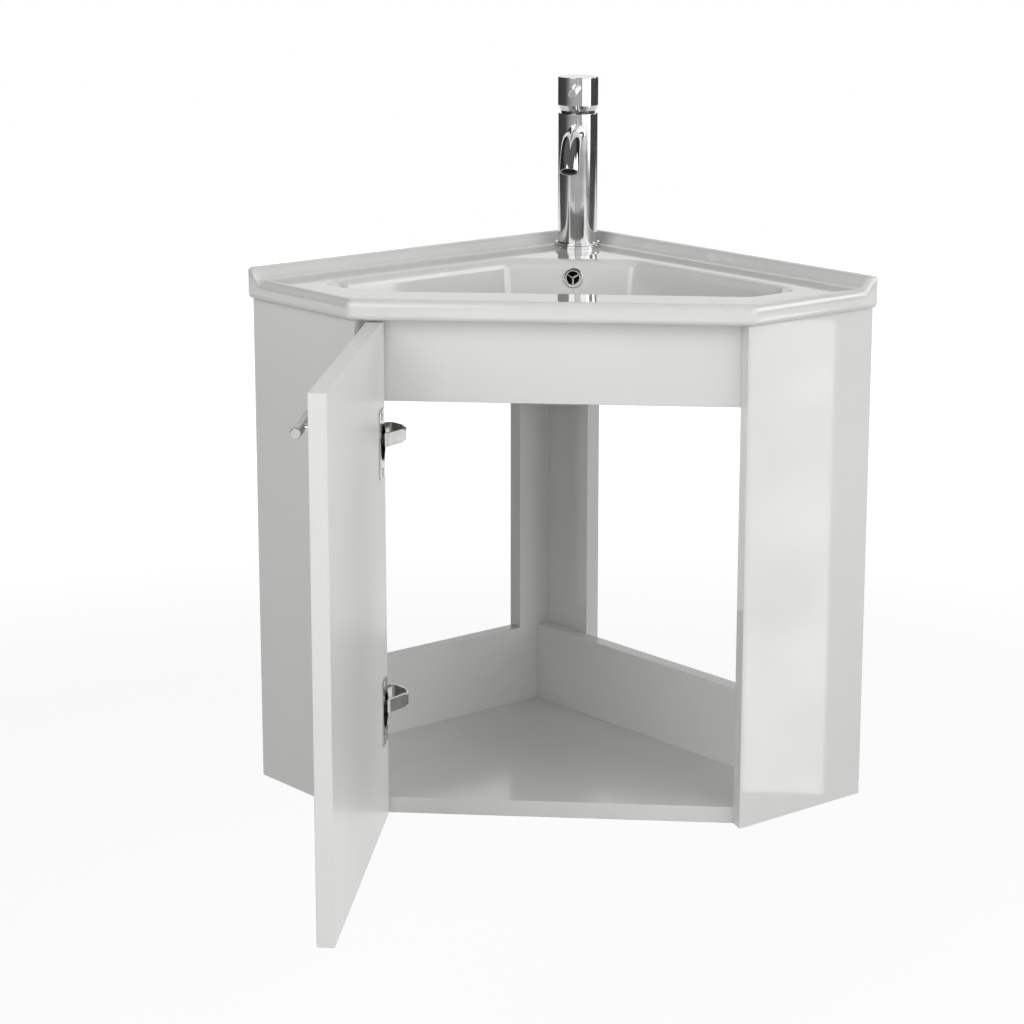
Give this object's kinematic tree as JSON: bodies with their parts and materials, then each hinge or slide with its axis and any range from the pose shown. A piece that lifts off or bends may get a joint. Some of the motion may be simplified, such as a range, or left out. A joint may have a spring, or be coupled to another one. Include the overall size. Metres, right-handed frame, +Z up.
{
  "type": "corner vanity unit",
  "caption": "Wall-hung corner bathroom cabinet with a ceramic basin, a single-lever mixer tap and one hinged door with a bar handle, standing open.",
  "frame": {"origin": "the corner where the two walls meet, at the height of the cabinet's underside", "axes": "+Z up; -Y out of the corner into the room, halfway between the walls; +X to the right as seen from the room, so the right wall runs towards +X -Y and the left wall towards -X -Y"},
  "size_m": [0.6006, 0.7385, 0.678],
  "materials": {
    "white_board": "gloss",
    "basin_ceramic": "gloss",
    "chrome": "polished",
    "steel": "satin",
    "brass": "satin",
    "rubber": "matte",
    "black_plastic": "matte",
    "beech": "matte"
  },
  "bodies": {
    "cabinet": {"left_side_panel": "white_board", "right_side_panel": "white_board", "floor_panel": "white_board", "front_fascia": "white_board", "left_back_panel": "white_board", "right_lower_rail": "white_board", "right_upper_rail": "white_board", "right_back_post": "white_board", "panel_dowels": "beech", "fascia_blocks": "beech", "hinge_plate_upper": "steel", "hinge_plate_lower": "steel", "hinge_plate_screws": "steel", "hinge_arm_upper": "steel", "hinge_arm_lower": "steel", "hinge_arm_screws": "steel", "basin": "basin_ceramic", "overflow_ring": "chrome", "tap_gasket": "rubber", "tap_foot_ring": "chrome", "tap_body": "chrome", "spout": "chrome", "aerator": "black_plastic", "cartridge": "black_plastic", "cartridge_nut": "brass", "tap_stud": "steel", "clamp_rubber": "rubber", "clamp_plate": "steel", "clamp_nut": "brass"},
    "door": {"door_panel": "white_board", "hinge_cup_upper": "steel", "hinge_cup_lower": "steel", "hinge_cup_screws": "steel", "hinge_pin_upper": "steel", "hinge_pin_lower": "steel", "handle_bar": "chrome", "handle_posts": "chrome", "handle_studs": "steel"},
    "mixer_swivel": {"cartridge_spindle": "brass", "lever_axle": "steel"},
    "mixer_lever": {"lever_cap": "chrome", "lever_pin": "chrome"}
  },
  "joints": [
    {"name": "door_hinge", "type": "hinge", "parent": "cabinet", "child": "door", "pos_m": [-0.16295, -0.40834, 0.24125], "axis": [0, 0, 1], "range_deg": [-10, 90]},
    {"name": "temperature_swivel", "type": "hinge", "parent": "cabinet", "child": "mixer_swivel", "pos_m": [0, -0.069, 0.6549], "axis": [0, 0, 1], "range_deg": [-45, 45]},
    {"name": "flow_lift", "type": "hinge", "parent": "mixer_swivel", "child": "mixer_lever", "pos_m": [0, -0.069, 0.6549], "axis": [-1, 0, 0], "range_deg": [0, 20]}
  ]
}
